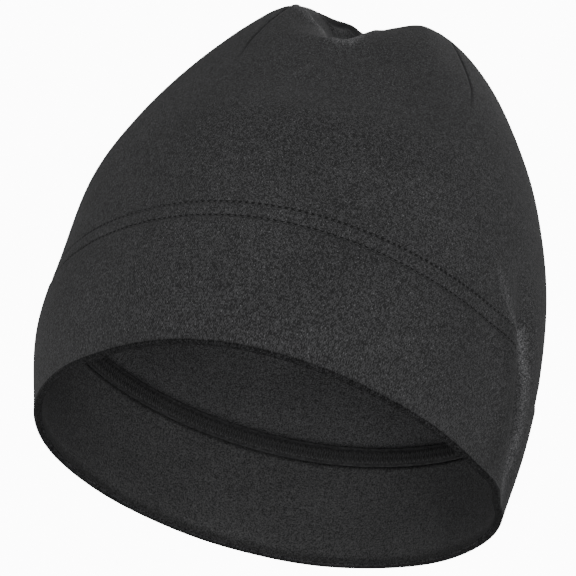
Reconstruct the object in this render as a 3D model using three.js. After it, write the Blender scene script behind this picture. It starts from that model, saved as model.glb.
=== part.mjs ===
// A close-fitting knit sports cap, in the form it has on a head. Four darts gather the crown at the top,
// and the cloth between them sags. The band is the same cloth doubled, with its fold at the rim.
// Millimetres and degrees. The front is -Y, +X is the wearer's left, and an azimuth turns from the front
// towards +X. Heights are measured up from the rim's plane, and the crown's apex is on the axis.
import * as THREE from 'three';

// Driving dimensions
const CROWN_WALL = 1.4;
const BAND_WALL = 3.0;
const SEAM_HEIGHT = 44.7;
const SEAM_TAPE_WIDTH = 8.0;
const SEAM_TAPE_WALL = 1.2;
const GAP = 0.3;
const BAND_PROUD = 0.5;
const BAND_TUCK_HEIGHT = 2.5;
const APEX_HEIGHT = 184.0;
const FADE_HEIGHT = 176.0;

// How finely the cloth is divided
const COLUMNS = 84;
const CROWN_ROWS = 20;
const BAND_ROWS = 6;
const FOLD_STEPS = 5;
const SEAM_TAPE_ROWS = 2;
const NORMAL_STEP = 0.02;

// Sections of the cap, from the rim up to where the darts begin
const SECTIONS = [
  { height: 0, halfWidth: 82.0, halfDepth: 99.0, right: -0.2, back: 1.4 },
  { height: 28, halfWidth: 87.3, halfDepth: 103.6, right: -1.7, back: 1.2 },
  { height: 58, halfWidth: 87.8, halfDepth: 101.5, right: -0.8, back: 1.0 },
  { height: 88, halfWidth: 85.5, halfDepth: 96.4, right: -1.2, back: 0.8 },
  { height: 116, halfWidth: 77.5, halfDepth: 85.1, right: -0.4, back: 0.5 },
  { height: 140, halfWidth: 66.8, halfDepth: 70.6, right: 0.2, back: 0.2 },
];

// How each section departs from an ellipse, as shares of its size. What fades is gone at FADE_HEIGHT.
const PLAN_WAVES = [
  { waves: 2, cosine: -0.028, sine: 0.009, fades: 0 },
  { waves: 3, cosine: 0.020, sine: 0.003, fades: 1 },
  { waves: 4, cosine: 0.013, sine: 0.006, fades: 1 },
];

// The gathered top: radius and height of each ring at an azimuth. The dart ridges are at -30, 60, 150 and 240,
// and the panels between them sag. The front panel's crest drops steeply from the ridge at -30 to a notch at 4,
// and climbs more gently from there to the ridge at 60.
const TOP = [
  { azimuth: -75, shoulder: [54.5, 162.0], crest: [42.0, 174.0], dip: [29.0, 179.5], inner: [15.0, 183.0] },
  { azimuth: -30, shoulder: [50.0, 166.0], crest: [43.5, 173.0], dip: [31.0, 179.0], inner: [16.0, 183.5] },
  { azimuth: -20, shoulder: [50.0, 163.0], crest: [43.0, 169.0], dip: [30.0, 175.0], inner: [15.5, 181.0] },
  { azimuth: -10, shoulder: [54.0, 154.0], crest: [46.0, 159.0], dip: [29.0, 166.0], inner: [15.0, 176.0] },
  { azimuth: 4, shoulder: [64.0, 143.5], crest: [55.0, 147.5], dip: [30.0, 157.0], inner: [14.0, 168.5] },
  { azimuth: 14, shoulder: [57.5, 151.5], crest: [49.0, 156.0], dip: [28.0, 163.0], inner: [13.5, 172.0] },
  { azimuth: 24, shoulder: [53.0, 159.0], crest: [45.0, 164.0], dip: [27.0, 170.0], inner: [13.0, 175.0] },
  { azimuth: 40, shoulder: [51.5, 165.5], crest: [43.0, 173.0], dip: [27.0, 179.0], inner: [13.5, 181.0] },
  { azimuth: 60, shoulder: [54.0, 162.5], crest: [41.5, 176.0], dip: [27.0, 182.0], inner: [14.0, 184.0] },
  { azimuth: 105, shoulder: [57.0, 163.0], crest: [42.5, 178.5], dip: [30.0, 182.0], inner: [15.0, 184.0] },
  { azimuth: 150, shoulder: [54.0, 161.0], crest: [38.0, 178.0], dip: [27.0, 182.0], inner: [14.0, 184.0] },
  { azimuth: 195, shoulder: [54.0, 156.5], crest: [38.0, 171.5], dip: [26.0, 174.0], inner: [14.0, 179.0] },
  { azimuth: 240, shoulder: [55.5, 161.0], crest: [42.0, 175.5], dip: [29.0, 180.5], inner: [15.0, 183.5] },
];
const TOP_RINGS = ['shoulder', 'crest', 'dip', 'inner'];

// Soft folds and hollows that run up the cap: the cloth moves out by relief, over halfWidth degrees each way
const FOLDS = [
  { foot: 84, head: 62, halfWidth: 6, relief: 1.4, from: -6, to: 80, fade: 24 },
  { foot: 94, head: 71, halfWidth: 5, relief: -4.4, from: -6, to: 78, fade: 24 },
  { foot: 8, head: 3, halfWidth: 22, relief: -6.5, from: 88, to: 160, fade: 28 },
  { foot: -66, head: -58, halfWidth: 9, relief: -2.0, from: 116, to: 162, fade: 18 },
];

const APEX_STATION = SECTIONS.length + TOP_RINGS.length;
const clamp = THREE.MathUtils.clamp;
const radians = THREE.MathUtils.degToRad;

// Eases from 0 to 1 as t goes from 0 to 1.
function ease(t) {
  return THREE.MathUtils.smoothstep(t, 0, 1);
}

// The horizontal direction that points outwards at an azimuth.
function outwards(azimuth) {
  return new THREE.Vector3(Math.sin(radians(azimuth)), -Math.cos(radians(azimuth)), 0);
}

// Radius or height (which = 0 or 1) of a ring of the top at an azimuth, smooth all the way round.
function ringValue(ring, which, azimuth) {
  const count = TOP.length;
  const value = (k) => TOP[(k + count) % count][ring][which];
  const span = (from, to) => THREE.MathUtils.euclideanModulo(
    TOP[(to + count) % count].azimuth - TOP[(from + count) % count].azimuth, 360);
  const slope = (k) => {
    const before = value(k) - value(k - 1);
    const after = value(k + 1) - value(k);
    return before * after > 0 ? (before + after) / span(k - 1, k + 1) : 0;
  };
  const turned = TOP[0].azimuth + THREE.MathUtils.euclideanModulo(azimuth - TOP[0].azimuth, 360);
  let k = count - 1;
  while (TOP[k].azimuth > turned) k -= 1;
  const width = span(k, k + 1);
  const t = (turned - TOP[k].azimuth) / width;
  const t2 = t * t;
  const t3 = t2 * t;
  return value(k) * (2 * t3 - 3 * t2 + 1) + value(k + 1) * (3 * t2 - 2 * t3)
    + width * (slope(k) * (t3 - 2 * t2 + t) + slope(k + 1) * (t3 - t2));
}

// Point of the cloth's outer face at a whole-numbered station: the sections, then the top's rings, then the
// apex. The station past the apex is the innermost ring's point across it.
function stationPoint(station, azimuth) {
  if (station === APEX_STATION) return new THREE.Vector3(0, 0, APEX_HEIGHT);
  if (station > APEX_STATION) return stationPoint(APEX_STATION - 1, azimuth + 180);
  if (station >= SECTIONS.length) {
    const ring = TOP_RINGS[station - SECTIONS.length];
    return outwards(azimuth).multiplyScalar(ringValue(ring, 0, azimuth)).setZ(ringValue(ring, 1, azimuth));
  }
  const section = SECTIONS[station];
  let share = 1;
  for (const { waves, cosine, sine, fades } of PLAN_WAVES) {
    const angle = radians(waves * azimuth);
    share += (1 - fades * section.height / FADE_HEIGHT) * (cosine * Math.cos(angle) + sine * Math.sin(angle));
  }
  const out = outwards(azimuth);
  return new THREE.Vector3(
    section.halfWidth * share * out.x + section.right,
    section.halfDepth * share * out.y + section.back,
    section.height,
  );
}

// Catmull-Rom curve through four values.
function curve(a, b, c, d, t) {
  const square = 2 * a - 5 * b + 4 * c - d;
  const cube = 3 * b - a - 3 * c + d;
  return 0.5 * (2 * b + (c - a) * t + square * t * t + cube * t * t * t);
}

// How far the folds move the cloth outwards.
function foldRelief(azimuth, height) {
  let relief = 0;
  for (const fold of FOLDS) {
    const climb = clamp((height - fold.from) / (fold.to - fold.from), 0, 1);
    const middle = THREE.MathUtils.lerp(fold.foot, fold.head, climb);
    const away = THREE.MathUtils.euclideanModulo(azimuth - middle + 180, 360) - 180;
    const fade = ease((height - fold.from) / fold.fade) * ease((fold.to - height) / fold.fade);
    relief += fold.relief * fade * Math.exp(-((away / fold.halfWidth) ** 2));
  }
  return relief;
}

// Point of the cloth's outer face. The station is 0 at the rim and APEX_STATION at the apex.
function clothPoint(station, azimuth) {
  const k = clamp(Math.floor(station), 0, APEX_STATION - 1);
  const b = stationPoint(k, azimuth);
  const c = stationPoint(k + 1, azimuth);
  const a = k > 0 ? stationPoint(k - 1, azimuth) : b.clone().multiplyScalar(2).sub(c);
  const d = stationPoint(k + 2, azimuth);
  const t = station - k;
  const point = new THREE.Vector3(
    curve(a.x, b.x, c.x, d.x, t),
    curve(a.y, b.y, c.y, d.y, t),
    curve(a.z, b.z, c.z, d.z, t),
  );
  return point.addScaledVector(outwards(azimuth), foldRelief(azimuth, point.z));
}

// Outward normal of the cloth, from its slopes along the azimuth and up the cap.
function clothNormal(station, azimuth) {
  if (station >= APEX_STATION) return new THREE.Vector3(0, 0, 1);
  const turn = NORMAL_STEP * 57.3;
  const below = Math.max(station - NORMAL_STEP, 0);
  const above = Math.min(station + NORMAL_STEP, APEX_STATION);
  const around = clothPoint(station, azimuth + turn).sub(clothPoint(station, azimuth - turn));
  const up = clothPoint(above, azimuth).sub(clothPoint(below, azimuth));
  return around.cross(up).normalize();
}

// The station at a height of the straight lower part, by halving.
function stationAt(height) {
  let low = 0;
  let high = SECTIONS.length - 2;
  for (let step = 0; step < 40; step += 1) {
    const middle = (low + high) / 2;
    if (clothPoint(middle, 0).z < height) low = middle;
    else high = middle;
  }
  return (low + high) / 2;
}

// Point at a height of the band or the tape, moved inwards at right angles to the cloth and level with it.
function wallPoint(height, azimuth, depth) {
  const station = stationAt(height);
  const inwards = clothNormal(station, azimuth).setZ(0).normalize();
  return clothPoint(station, azimuth).addScaledVector(inwards, -depth);
}

// A closed body from one profile at each azimuth. A profile runs down the outer face and up the inner one.
// With poles, its first and last points are on the axis, where all profiles meet. Every face is split from its
// lower corner in one column to its upper corner in the next, so that walls side by side keep an even gap.
function bodyOfProfiles(profileAt, poles) {
  const profiles = [];
  for (let column = 0; column < COLUMNS; column += 1) profiles.push(profileAt(360 * column / COLUMNS));
  const points = poles ? [profiles[0][0], profiles[0].at(-1)] : [];
  const rings = profiles.map((profile) => (poles ? profile.slice(1, -1) : profile));
  const first = points.length;
  const count = rings[0].length;
  for (const ring of rings) points.push(...ring);
  const index = (column, row) => first + (column % COLUMNS) * count + (row % count);
  const faces = [];
  for (let column = 0; column < COLUMNS; column += 1) {
    for (let row = 0; row < (poles ? count - 1 : count); row += 1) {
      const [a, b] = [index(column, row), index(column, row + 1)];
      const [d, c] = [index(column + 1, row), index(column + 1, row + 1)];
      const rising = rings[column][row].z < rings[column][(row + 1) % count].z;
      if (rising) faces.push(a, b, c, a, c, d);
      else faces.push(a, b, d, b, c, d);
    }
    if (poles) faces.push(0, index(column, 0), index(column + 1, 0));
    if (poles) faces.push(1, index(column + 1, count - 1), index(column, count - 1));
  }
  const geometry = new THREE.BufferGeometry();
  geometry.setAttribute('position', new THREE.Float32BufferAttribute(points.flatMap((p) => p.toArray()), 3));
  geometry.setIndex(faces);
  geometry.computeVertexNormals();
  return geometry;
}

// Heights of the tape's rows. The crown's first rows are level with them, so the two keep an even gap.
const TAPE_HEIGHTS = Array.from(
  { length: SEAM_TAPE_ROWS + 1 },
  (_, row) => SEAM_HEIGHT + SEAM_TAPE_WIDTH * row / SEAM_TAPE_ROWS,
);

// The crown: one wall of cloth from the seam to the apex.
function crownProfile(azimuth) {
  const stations = TAPE_HEIGHTS.map(stationAt);
  const start = stations.at(-1);
  for (let row = 1; row <= CROWN_ROWS; row += 1) {
    stations.push(start + (APEX_STATION - start) * row / CROWN_ROWS);
  }
  const outer = stations.map((station) => clothPoint(station, azimuth));
  const inner = stations.map((station, row) => (
    row < TAPE_HEIGHTS.length
      ? wallPoint(TAPE_HEIGHTS[row], azimuth, CROWN_WALL)
      : outer[row].clone().addScaledVector(clothNormal(station, azimuth), -CROWN_WALL)
  ));
  return [...outer.reverse(), ...inner];
}

// The band: doubled cloth that stands a little proud, tucks in under the seam, and is round at the rim.
function bandProfile(azimuth) {
  const top = SEAM_HEIGHT - GAP;
  const radius = BAND_WALL / 2;
  const heights = Array.from({ length: BAND_ROWS + 1 }, (_, row) => radius + (top - radius) * row / BAND_ROWS);
  heights.splice(BAND_ROWS, 0, top - BAND_TUCK_HEIGHT);
  const proud = (height) => BAND_PROUD * ease((top - height) / BAND_TUCK_HEIGHT);
  const outer = heights.map((height) => wallPoint(height, azimuth, -proud(height))).reverse();
  const inner = heights.map((height) => wallPoint(height, azimuth, BAND_WALL - BAND_PROUD));
  const fold = [];
  for (let step = 1; step < FOLD_STEPS; step += 1) {
    const angle = Math.PI * step / FOLD_STEPS;
    const depth = radius * (1 - Math.cos(angle)) - BAND_PROUD;
    fold.push(wallPoint(radius, azimuth, depth).setZ(radius * (1 - Math.sin(angle))));
  }
  return [...outer, ...fold, ...inner];
}

// The seam's turned-up edges: a tape round the inside of the crown, just above the band.
function seamTapeProfile(azimuth) {
  const depth = CROWN_WALL + GAP;
  const outer = TAPE_HEIGHTS.map((height) => wallPoint(height, azimuth, depth)).reverse();
  const inner = TAPE_HEIGHTS.map((height) => wallPoint(height, azimuth, depth + SEAM_TAPE_WALL));
  return [...outer, ...inner];
}

const cloth = { color: 0x1e1e1f, roughness: 0.92, metalness: 0 };
const crownCloth = new THREE.MeshStandardMaterial(cloth);
const bandCloth = new THREE.MeshStandardMaterial({ ...cloth, color: 0x1c1c1d });
const seamCloth = new THREE.MeshStandardMaterial({ ...cloth, color: 0x121213, roughness: 0.95 });

function addPiece(group, name, geometry, material) {
  const mesh = new THREE.Mesh(geometry, material);
  mesh.name = name;
  group.add(mesh);
}

// The origin is the inside of the apex, where the top of the head comes.
const cap = new THREE.Group();
cap.position.z = CROWN_WALL - APEX_HEIGHT;
addPiece(cap, 'crown', bodyOfProfiles(crownProfile, true), crownCloth);
addPiece(cap, 'band', bodyOfProfiles(bandProfile, false), bandCloth);
addPiece(cap, 'seam_tape', bodyOfProfiles(seamTapeProfile, false), seamCloth);

export default cap;
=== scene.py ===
# %% [markdown]
# # A knit sports cap in Blender
#
# The object is a thin black cap of brushed stretch jersey, in the form it has on a head. It has four parts
# that a maker would name: a crown gathered by four darts, a band of the same cloth folded double at the rim,
# a flat tape of turned-up seam edges inside, and the threads that hold all this together.
#
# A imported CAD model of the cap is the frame. It gives the size and the place of everything, and each piece
# of cloth made here stands for one of its nodes. The lesson is how to get soft, sewn cloth out of plain
# functions: every surface is a function of two parameters on a grid, worked out as whole numpy arrays.

import bpy
import numpy as np
from mathutils import Matrix


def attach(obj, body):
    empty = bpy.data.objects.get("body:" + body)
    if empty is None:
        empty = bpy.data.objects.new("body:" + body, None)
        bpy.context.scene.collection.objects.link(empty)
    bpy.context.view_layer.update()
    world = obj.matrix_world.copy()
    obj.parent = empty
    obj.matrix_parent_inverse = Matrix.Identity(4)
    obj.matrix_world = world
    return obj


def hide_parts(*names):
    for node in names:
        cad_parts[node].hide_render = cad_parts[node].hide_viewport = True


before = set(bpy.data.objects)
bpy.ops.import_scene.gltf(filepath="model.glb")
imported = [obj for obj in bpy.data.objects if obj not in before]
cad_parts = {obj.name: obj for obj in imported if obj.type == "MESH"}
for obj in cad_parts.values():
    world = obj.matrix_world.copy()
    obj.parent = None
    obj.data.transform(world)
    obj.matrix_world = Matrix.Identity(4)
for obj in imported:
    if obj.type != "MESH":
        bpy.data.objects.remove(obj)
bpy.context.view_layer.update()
print("nodes of the frame:", sorted(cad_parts))

# %% [markdown]
# ## Units and helpers
#
# The form is easiest to think of in millimetres above the rim. The frame is in metres, with its origin at the
# inside of the apex. One helper turns the first into the second when a mesh is made.

# %% Units
MM = 0.001
APEX_HEIGHT = 184.0
CROWN_WALL = 1.4
ORIGIN_HEIGHT = APEX_HEIGHT - CROWN_WALL


def ease(t):
    """0 below t = 0, 1 above t = 1, and 3 t^2 - 2 t^3 between them."""
    t = np.clip(t, 0.0, 1.0)
    return t * t * (3.0 - 2.0 * t)


def bell(distance, width):
    """exp(-(distance / width)^2): 1 in the middle and nearly 0 past twice the width."""
    return np.exp(-((distance / width) ** 2))


def turn_between(azimuth, middle):
    """The angle from middle to azimuth in degrees, from -180 to 180."""
    return (azimuth - middle + 180.0) % 360.0 - 180.0


def outwards(azimuth):
    """The horizontal unit vector (sin a, -cos a, 0) at each azimuth a. 0 degrees is the front, at -Y."""
    angle = np.radians(azimuth)
    return np.stack([np.sin(angle), -np.cos(angle), 0.0 * angle], axis=-1)


def unit(vectors):
    """The vectors divided by their lengths."""
    return vectors / np.maximum(np.linalg.norm(vectors, axis=-1, keepdims=True), 1e-12)


def radius_of(points):
    """The distance of each point from the cap's middle line."""
    return np.hypot(points[..., 0], points[..., 1])


def run_up(steps):
    """0, and then the sum of the steps up to each."""
    return np.concatenate([np.zeros_like(steps[:1]), np.cumsum(steps, axis=0)])


def records(keys, *rows):
    """A dictionary for each row of values, all with the same keys."""
    return [dict(zip(keys.split(), row)) for row in rows]


def new_object(name, data):
    """An object in the scene."""
    thing = bpy.data.objects.new(name, data)
    bpy.context.scene.collection.objects.link(thing)
    return thing


print(f"the rim is {ORIGIN_HEIGHT:.1f} mm below the frame's origin")

# %% [markdown]
# ## The form of the cloth
#
# Stretch cloth takes the shape of a head: an oval that is wider at the back, closing in above the temples. At
# the top, four darts pinch it into ridges and the panels between them sag, the front one into a deep dent. A
# cloth simulation could find such a form, but it would not land on this one.
#
# So the form is a smooth surface through ovals with waves in their plan and, above them, rings whose radius
# and height change with the azimuth. The tables are those of the CAD model, so the cloth lies exactly where
# its solids are.

# %% Sections and rings
SECTIONS = dict(zip(("height", "half_width", "half_depth", "right", "back"), np.array([
    (0.0, 82.0, 99.0, -0.2, 1.4),
    (28.0, 87.3, 103.6, -1.7, 1.2),
    (58.0, 87.8, 101.5, -0.8, 1.0),
    (88.0, 85.5, 96.4, -1.2, 0.8),
    (116.0, 77.5, 85.1, -0.4, 0.5),
    (140.0, 66.8, 70.6, 0.2, 0.2),
]).T))
FADE_HEIGHT = 176.0
PLAN_WAVES = records("waves cosine sine fades", (2, -0.028, 0.009, 0), (3, 0.020, 0.003, 1),
                     (4, 0.013, 0.006, 1))
TOP_AZIMUTHS = np.array([-75.0, -30.0, -20.0, -10.0, 4.0, 14.0, 24.0, 40.0, 60.0, 105.0, 150.0, 195.0, 240.0])
TOP_RINGS = records(
    "ring radius height",
    ("shoulder", (54.5, 50, 50, 54, 64, 57.5, 53, 51.5, 54, 57, 54, 54, 55.5),
     (162, 166, 163, 154, 143.5, 151.5, 159, 165.5, 162.5, 163, 161, 156.5, 161)),
    ("crest", (42, 43.5, 43, 46, 55, 49, 45, 43, 41.5, 42.5, 38, 38, 42),
     (174, 173, 169, 159, 147.5, 156, 164, 173, 176, 178.5, 178, 171.5, 175.5)),
    ("dip", (29, 31, 30, 29, 30, 28, 27, 27, 27, 30, 27, 26, 29),
     (179.5, 179, 175, 166, 157, 163, 170, 179, 182, 182, 182, 174, 180.5)),
    ("inner", (15, 16, 15.5, 15, 14, 13.5, 13, 13.5, 14, 15, 14, 14, 15),
     (183, 183.5, 181, 176, 168.5, 172, 175, 181, 184, 184, 184, 179, 183.5)))
FOLDS = records(
    "foot head half_width relief from to fade",
    (84, 62, 6, 1.4, -6, 80, 24),
    (94, 71, 5, -4.4, -6, 78, 24),
    (8, 3, 22, -6.5, 88, 160, 28),
    (-66, -58, 9, -2.0, 116, 162, 18))
SECTION_COUNT = len(SECTIONS["height"])
SHOULDER_STATION = SECTION_COUNT - 1.0
APEX_STATION = SECTION_COUNT + len(TOP_RINGS)
print(f"{SECTION_COUNT} sections and {len(TOP_RINGS)} rings, with the apex at station {APEX_STATION}")


# %% Rings of the top
def ring_value(values, azimuth):
    """A cubic Hermite curve through values at TOP_AZIMUTHS, round and round. Its slope at each is the mean
    slope of its two neighbours, or 0 where the values turn back, so that the curve never overshoots them."""
    values = np.asarray(values, float)
    before, after = values - np.roll(values, 1), np.roll(values, -1) - values
    span = (np.roll(TOP_AZIMUTHS, -1) - TOP_AZIMUTHS) % 360.0
    slope = np.where(before * after > 0, (before + after) / (span + np.roll(span, 1)), 0.0)
    turned = TOP_AZIMUTHS[0] + (azimuth - TOP_AZIMUTHS[0]) % 360.0
    k = np.clip(np.searchsorted(TOP_AZIMUTHS, turned, side="right") - 1, 0, len(values) - 1)
    following = (k + 1) % len(values)
    t = (turned - TOP_AZIMUTHS[k]) / span[k]
    return (values[k] * (2 * t**3 - 3 * t**2 + 1) + values[following] * (3 * t**2 - 2 * t**3)
            + span[k] * (slope[k] * (t**3 - 2 * t**2 + t) + slope[following] * (t**3 - t**2)))


def station_points(station, azimuth):
    """The cloth's points at one whole-numbered station: a waved oval for a section, radius and height for a
    ring, the apex, and past the apex the inner ring's point across it."""
    if station == APEX_STATION:
        return np.zeros(azimuth.shape + (3,)) + (0.0, 0.0, APEX_HEIGHT)
    if station > APEX_STATION:
        return station_points(APEX_STATION - 1, azimuth + 180.0)
    if station >= SECTION_COUNT:
        ring = TOP_RINGS[station - SECTION_COUNT]
        points = outwards(azimuth) * ring_value(ring["radius"], azimuth)[..., None]
        points[..., 2] = ring_value(ring["height"], azimuth)
        return points
    height, half_width, half_depth, right, back = (column[station] for column in SECTIONS.values())
    share = 1.0 + 0.0 * azimuth
    for wave in PLAN_WAVES:
        angle = np.radians(wave["waves"] * azimuth)
        strength = 1.0 - wave["fades"] * height / FADE_HEIGHT
        share += strength * (wave["cosine"] * np.cos(angle) + wave["sine"] * np.sin(angle))
    points = outwards(azimuth) * share[..., None] * (half_width, half_depth, 0.0)
    return points + (right, back, height)


# %% The surface
def fold_relief(azimuth, height):
    """How far the soft folds move the cloth outwards: a bell across each, faded in and out up the cap."""
    relief = 0.0
    for fold in FOLDS:
        climb = np.clip((height - fold["from"]) / (fold["to"] - fold["from"]), 0.0, 1.0)
        away = turn_between(azimuth, fold["foot"] + (fold["head"] - fold["foot"]) * climb)
        fade = ease((height - fold["from"]) / fold["fade"]) * ease((fold["to"] - height) / fold["fade"])
        relief = relief + fold["relief"] * fade * bell(away, fold["half_width"])
    return relief


def cloth(station, azimuth):
    """The cloth's outer face in millimetres: a Catmull-Rom curve through the stations at each azimuth, moved
    outwards by the folds. Station and azimuth are arrays of one shape."""
    station, azimuth = np.broadcast_arrays(np.asarray(station, float), np.asarray(azimuth, float))
    stations = np.stack([station_points(k, azimuth) for k in range(APEX_STATION + 2)])
    first = 2.0 * stations[0] - stations[1]
    stations = np.concatenate([first[None], stations])
    k = np.clip(np.floor(station).astype(int), 0, APEX_STATION - 1)
    t = (station - k)[..., None]
    a, b, c, d = (np.take_along_axis(stations, (k + step)[None, ..., None], axis=0)[0] for step in range(4))
    points = 0.5 * (2 * b + (c - a) * t + (2 * a - 5 * b + 4 * c - d) * t**2 + (3 * b - a - 3 * c + d) * t**3)
    return points + outwards(azimuth) * fold_relief(azimuth, points[..., 2])[..., None]


STATION_STEP, AZIMUTH_STEP = 0.02, 1.15


def cloth_normal(station, azimuth):
    """The outward normal: the slope round the cap crossed with the slope up the cap. It is +Z at the apex."""
    station, azimuth = np.broadcast_arrays(np.asarray(station, float), np.asarray(azimuth, float))
    below, above = np.maximum(station - STATION_STEP, 0.0), np.minimum(station + STATION_STEP, APEX_STATION)
    around = cloth(station, azimuth + AZIMUTH_STEP) - cloth(station, azimuth - AZIMUTH_STEP)
    normal = unit(np.cross(around, cloth(above, azimuth) - cloth(below, azimuth)))
    return np.where((station >= APEX_STATION - 1e-9)[..., None], (0.0, 0.0, 1.0), normal)


# %% Heights and stations
_stations = np.linspace(0.0, SHOULDER_STATION, 2001)
_heights = cloth(_stations, 0.0)[:, 2]


def station_at(height):
    """The station where the lower cloth has a height, read off the curve at the front."""
    return np.interp(height, _heights, _stations)


print(f"the apex is at {cloth(APEX_STATION, 0.0)[2]:.1f} mm, and 100 mm at station {station_at(100.0):.3f}")

# %% [markdown]
# ## Columns that follow the darts
#
# A dart is a wedge cut out of the cloth and sewn shut. It shows as a fine sunken line, and it leans a few
# degrees on its way up. Across straight columns it would run in steps. So the grid's columns lean with the
# darts and crowd together beside them, where the groove needs them. Further down they are evenly spread.

# %% Darts and columns
DARTS = records("foot head", (-22.0, -30.0), (49.5, 57.0), (157.0, 150.0), (233.0, 240.0))
DART_FOOT, DART_HEAD = 122.0, 165.0
PANEL_COLUMNS = (86, 114, 86, 114)
CROWDING, CROWDS_FROM, CROWDS_OVER = 0.66, 92.0, 30.0


def dart_azimuth(dart, height):
    """Where a dart is at a height: it drifts from its foot's azimuth to its head's."""
    return dart["foot"] + (dart["head"] - dart["foot"]) * ease((height - DART_FOOT) / (DART_HEAD - DART_FOOT))


def columns_at(height):
    """The azimuth of every column at each height, and its panel. Panel k runs from dart k to the next. A
    share t of the way across it becomes t - c sin(2 pi t) / (2 pi), where c grows up the cap."""
    height = np.asarray(height, float)[..., None]
    crowding = CROWDING * ease((height - CROWDS_FROM) / CROWDS_OVER)
    azimuths, panels = [], []
    for k, count in enumerate(PANEL_COLUMNS):
        start = dart_azimuth(DARTS[k], height)
        end = dart_azimuth(DARTS[(k + 1) % 4], height) + (360.0 if k == 3 else 0.0)
        t = np.arange(count) / count
        t = t - crowding * np.sin(2.0 * np.pi * t) / (2.0 * np.pi)
        azimuths.append(start + (end - start) * t)
        panels.append(np.full(count, k))
    return np.concatenate(azimuths, axis=-1), np.concatenate(panels)


COLUMNS = sum(PANEL_COLUMNS)
print(f"{COLUMNS} columns, {360 / COLUMNS:.2f} degrees apart at the rim")

# %% [markdown]
# ## Relief: what sewing does to soft cloth
#
# Thread under tension draws cloth in along each row of stitches. The cloth puffs up between the rows and
# puckers beside them, and a dart does the same along its seam. Between these, worn jersey is never quite
# smooth. Here each effect is one term, so its depth and width are plain numbers.

# %% Relief of the cloth
SEAM_HEIGHT = 44.7
ROW_GAUGE = 5.6
UPPER_ROW = SEAM_HEIGHT + ROW_GAUGE
WAVE_COUNT, PUCKER_COUNT = 14, 7
random = np.random.default_rng(11)
WAVES = [
    {"around": int(n), "up": u, "phase": p, "depth": d}
    for n, u, p, d in zip(random.integers(3, 15, WAVE_COUNT), random.normal(0.0, 0.055, WAVE_COUNT),
                          random.uniform(0.0, 2.0 * np.pi, WAVE_COUNT),
                          random.uniform(0.04, 0.11, WAVE_COUNT))
]
PUCKERS = [
    {"around": int(n), "phase": p}
    for n, p in zip(random.integers(52, 84, PUCKER_COUNT), random.uniform(0.0, 2.0 * np.pi, PUCKER_COUNT))
]
SEAM_BELLS = records(
    "name up half_width relief",
    ("groove of the lower row", 0.0, 0.5, -0.34),
    ("groove of the upper row", ROW_GAUGE, 0.5, -0.30),
    ("puff between the rows", ROW_GAUGE / 2.0, 2.0, 0.18),
    ("puff above the rows", ROW_GAUGE + 2.2, 1.4, 0.10))
PUCKER_BELLS = records(
    "name up half_width relief",
    ("above the rows", ROW_GAUGE + 2.6, 3.0, 0.09),
    ("below the rows", -3.0, 3.2, 0.072))
LEAST_PUCKERED, MORE_PUCKERED, MOST_PUCKERED_AT, PUCKERED_HALF_WIDTH = 0.5, 0.9, 45.0, 34.0
DART_START, DARTS_MEET = DART_FOOT - 2.0, 7.0
DART_GROOVE = {"half_width": 0.55, "relief": -0.7, "grows": 34.0}
# Painted shade along each dart's groove: how wide, how dark, and over what height it grows.
DART_SEAM_SHADE = {"half_width": 0.6, "haze": -0.75, "grows": 20.0}
DART_LIPS = {"half_width": 1.8, "relief": 0.16, "away": 2.2}
RIM_DROOP, DROOP_HEIGHT = 0.95, 14.0
# The most that painted shade may darken the cloth.
DARKEST = -0.92
print("bells up the seam:", [item["name"] for item in SEAM_BELLS + PUCKER_BELLS])


def unevenness(azimuth, height):
    """A sum of long shallow waves that run round and up the cap in different directions."""
    return sum(w["depth"] * np.sin(np.radians(w["around"] * azimuth) + w["up"] * height + w["phase"])
               for w in WAVES)


def puckering(azimuth):
    """A sum of short waves round the cap, as stitching draws cloth into small ripples."""
    waves = (np.sin(np.radians(wave["around"] * azimuth) + wave["phase"]) for wave in PUCKERS)
    return sum(waves) / PUCKER_COUNT ** 0.5


def bells_up(bells, height):
    """A sum of bells, each at its own height over the seam."""
    return sum(item["relief"] * bell(height - SEAM_HEIGHT - item["up"], item["half_width"]) for item in bells)


def seam_relief(azimuth, height):
    """The two stitched grooves, the puff of cloth between them and the puckers beside them."""
    most = bell(turn_between(azimuth, MOST_PUCKERED_AT), PUCKERED_HALF_WIDTH)
    strength = LEAST_PUCKERED + MORE_PUCKERED * most
    puckers = strength * bells_up(PUCKER_BELLS, height) * puckering(azimuth)
    return bells_up(SEAM_BELLS, height) * sewn_share(azimuth) + puckers


def darts(azimuth, climb, radius):
    """Relief and painted shade of the darts: narrow grooves with soft lips, deeper towards the top, and
    painted shade along each groove. Distance from a dart is angle times radius."""
    grown = ease((climb - DART_START) / DART_GROOVE["grows"]) * ease(radius / DARTS_MEET)
    darkened = ease((climb - DART_START) / DART_SEAM_SHADE["grows"])
    relief, haze = 0.0, 0.0
    for dart in DARTS:
        away = np.radians(turn_between(azimuth, dart_azimuth(dart, climb))) * radius
        groove = DART_GROOVE["relief"] * bell(away, DART_GROOVE["half_width"])
        lips = DART_LIPS["relief"] * bell(np.abs(away) - DART_LIPS["away"], DART_LIPS["half_width"])
        relief = relief + grown * (groove + lips)
        haze = haze + darkened * DART_SEAM_SHADE["haze"] * bell(away, DART_SEAM_SHADE["half_width"])
    return relief, haze
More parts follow.
